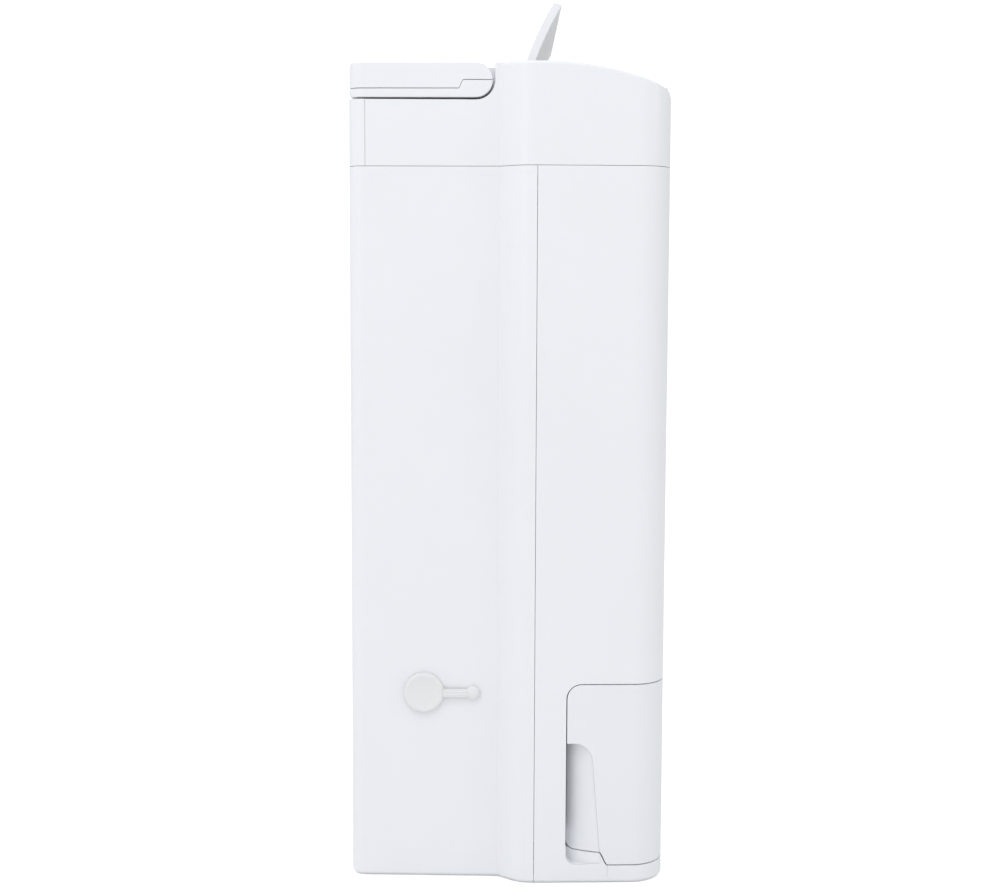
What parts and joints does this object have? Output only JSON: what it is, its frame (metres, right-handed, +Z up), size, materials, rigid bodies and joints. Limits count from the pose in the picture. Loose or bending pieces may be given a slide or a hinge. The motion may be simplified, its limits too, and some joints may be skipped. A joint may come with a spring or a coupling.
{
  "type": "dehumidifier",
  "caption": "Slim upright dehumidifier with a folding carry handle, a tilting top louvre, a pull-out water tank and a side drain plug.",
  "frame": {"origin": "middle of the footprint, on the floor under the feet", "axes": "+Z up, -Y the front (tank and louvre side), +X to the right seen from the front"},
  "size_m": [0.29, 0.1875, 0.52],
  "materials": {
    "white_shell": "smooth moulded white plastic with a soft gloss",
    "white_trim": "smooth moulded white plastic, satin",
    "tank_white": "smooth moulded white plastic",
    "clear_blue": "clear tinted plastic window",
    "grey_plastic": "fine matt moulded plastic",
    "dark_plastic": "matt black plastic",
    "white_rubber": "soft white rubber",
    "dark_rubber": "matt black rubber",
    "panel_grey": "printed-look satin panel without any printing",
    "lens": "clear lens",
    "steel": "plain bright steel",
    "aluminium": "bare aluminium sheet",
    "copper_wire": "dull heater wire",
    "circuit_board": "green circuit board",
    "desiccant": "porous honeycomb wheel",
    "nylon": "natural nylon",
    "fan_grey": "grey moulded fan plastic",
    "condenser_blue": "thin blow-moulded plastic",
    "mesh": "fine woven filter mesh",
    "red_plastic": "small red switch plunger"
  },
  "bodies": {
    "case": {"rear_shell": "white_shell", "front_shell": "white_shell", "top_housing": "white_shell", "rear_trim": "white_trim", "chassis": "dark_plastic", "inner_supports": "dark_plastic", "bay_lining": "white_shell", "rubber_feet": "dark_rubber", "screws": "steel", "cord_grommet": "dark_rubber", "handle_pins": "steel", "louvre_pins": "steel", "outlet_duct": "grey_plastic", "outlet_fins": "grey_plastic", "control_panel": "panel_grey", "indicator_lenses": "lens", "control_board": "circuit_board", "plug_strap": "white_rubber", "drain_spout": "grey_plastic", "level_sensor": "dark_plastic", "tank_switch": "dark_plastic", "drain_pan": "grey_plastic", "condenser": "condenser_blue", "wheel_frame": "grey_plastic", "wheel_axle": "steel", "gear_motor": "steel", "heater_case": "aluminium", "heater_element": "copper_wire", "regen_scroll": "grey_plastic", "regen_motor": "steel", "fan_scroll": "grey_plastic", "fan_motor": "steel", "main_board": "circuit_board", "board_cover": "grey_plastic"},
    "carry_handle": {"handle_cover": "white_trim", "handle_base": "white_trim"},
    "louvre": {"louvre_flap": "white_trim"},
    "power_key": {"power_button": "white_trim"},
    "mode_key": {"mode_button": "white_trim"},
    "timer_key": {"timer_button": "white_trim"},
    "louvre_key": {"louvre_button": "white_trim"},
    "filter": {"filter_cover": "white_shell", "filter_frame": "grey_plastic", "filter_mesh": "mesh"},
    "plug": {"drain_plug": "white_rubber"},
    "tank": {"water_tank": "tank_white", "tank_lid": "white_trim", "tank_window": "clear_blue"},
    "tank_bail": {"tank_handle": "white_trim"},
    "float": {"float_arm": "grey_plastic", "float_block": "white_trim", "float_magnet": "steel"},
    "plunger": {"switch_plunger": "red_plastic"},
    "wheel": {"desiccant_wheel": "desiccant", "ring_gear": "nylon", "wheel_hub": "nylon"},
    "pinion": {"drive_pinion": "nylon"},
    "regen_fan": {"regen_impeller": "nylon"},
    "main_fan": {"fan_wheel": "fan_grey", "motor_shaft": "steel"}
  },
  "joints": [
    {"name": "handle_fold", "type": "hinge", "parent": "case", "child": "carry_handle", "pos_m": [0, 0.0195, 0.4709], "axis": [1, 0, 0], "range_deg": [0, 90]},
    {"name": "louvre_tilt", "type": "hinge", "parent": "case", "child": "louvre", "pos_m": [0, -0.025, 0.4586], "axis": [-1, 0, 0], "range_deg": [-80, 0]},
    {"name": "power_press", "type": "slide", "parent": "case", "child": "power_key", "axis": [0, 0, -1], "range_m": [0, 0.0008], "stiffness_N_per_m": 800, "springref_m": -0.001},
    {"name": "mode_press", "type": "slide", "parent": "case", "child": "mode_key", "axis": [0, 0, -1], "range_m": [0, 0.0008], "stiffness_N_per_m": 800, "springref_m": -0.001},
    {"name": "timer_press", "type": "slide", "parent": "case", "child": "timer_key", "axis": [0, 0, -1], "range_m": [0, 0.0008], "stiffness_N_per_m": 800, "springref_m": -0.001},
    {"name": "louvre_press", "type": "slide", "parent": "case", "child": "louvre_key", "axis": [0, 0, -1], "range_m": [0, 0.0008], "stiffness_N_per_m": 800, "springref_m": -0.001},
    {"name": "filter_pull", "type": "slide", "parent": "case", "child": "filter", "axis": [0, 1, 0], "range_m": [0, 0.12]},
    {"name": "plug_pull", "type": "slide", "parent": "case", "child": "plug", "axis": [-1, 0, 0], "range_m": [0, 0.014]},
    {"name": "tank_slide", "type": "slide", "parent": "case", "child": "tank", "axis": [0, -1, 0], "range_m": [0, 0.16]},
    {"name": "tank_bail_lift", "type": "hinge", "parent": "tank", "child": "tank_bail", "pos_m": [0, -0.015, 0.104], "axis": [-1, 0, 0], "range_deg": [0, 90]},
    {"name": "float_rise", "type": "hinge", "parent": "tank", "child": "float", "pos_m": [-0.07, 0.018, 0.092], "axis": [-1, 0, 0], "range_deg": [-28, 4]},
    {"name": "plunger_press", "type": "slide", "parent": "case", "child": "plunger", "axis": [0, -1, 0], "range_m": [0, 0.0003], "stiffness_N_per_m": 300, "springref_m": 0.001},
    {"name": "wheel_spin", "type": "hinge", "parent": "case", "child": "wheel", "pos_m": [0, 0.049, 0.29], "axis": [0, 1, 0], "continuous": true},
    {"name": "pinion_spin", "type": "hinge", "parent": "case", "child": "pinion", "pos_m": [0.08273, 0.045, 0.20727], "axis": [0, 1, 0], "continuous": true},
    {"name": "regen_fan_spin", "type": "hinge", "parent": "case", "child": "regen_fan", "pos_m": [0, 0.0135, 0.328], "axis": [0, 1, 0], "continuous": true},
    {"name": "main_fan_spin", "type": "hinge", "parent": "case", "child": "main_fan", "pos_m": [0, -0.03, 0.276], "axis": [0, 1, 0], "continuous": true}
  ],
  "couplings": [
    {"joint": "pinion_spin", "follows": "wheel_spin", "ratio": -8}
  ]
}
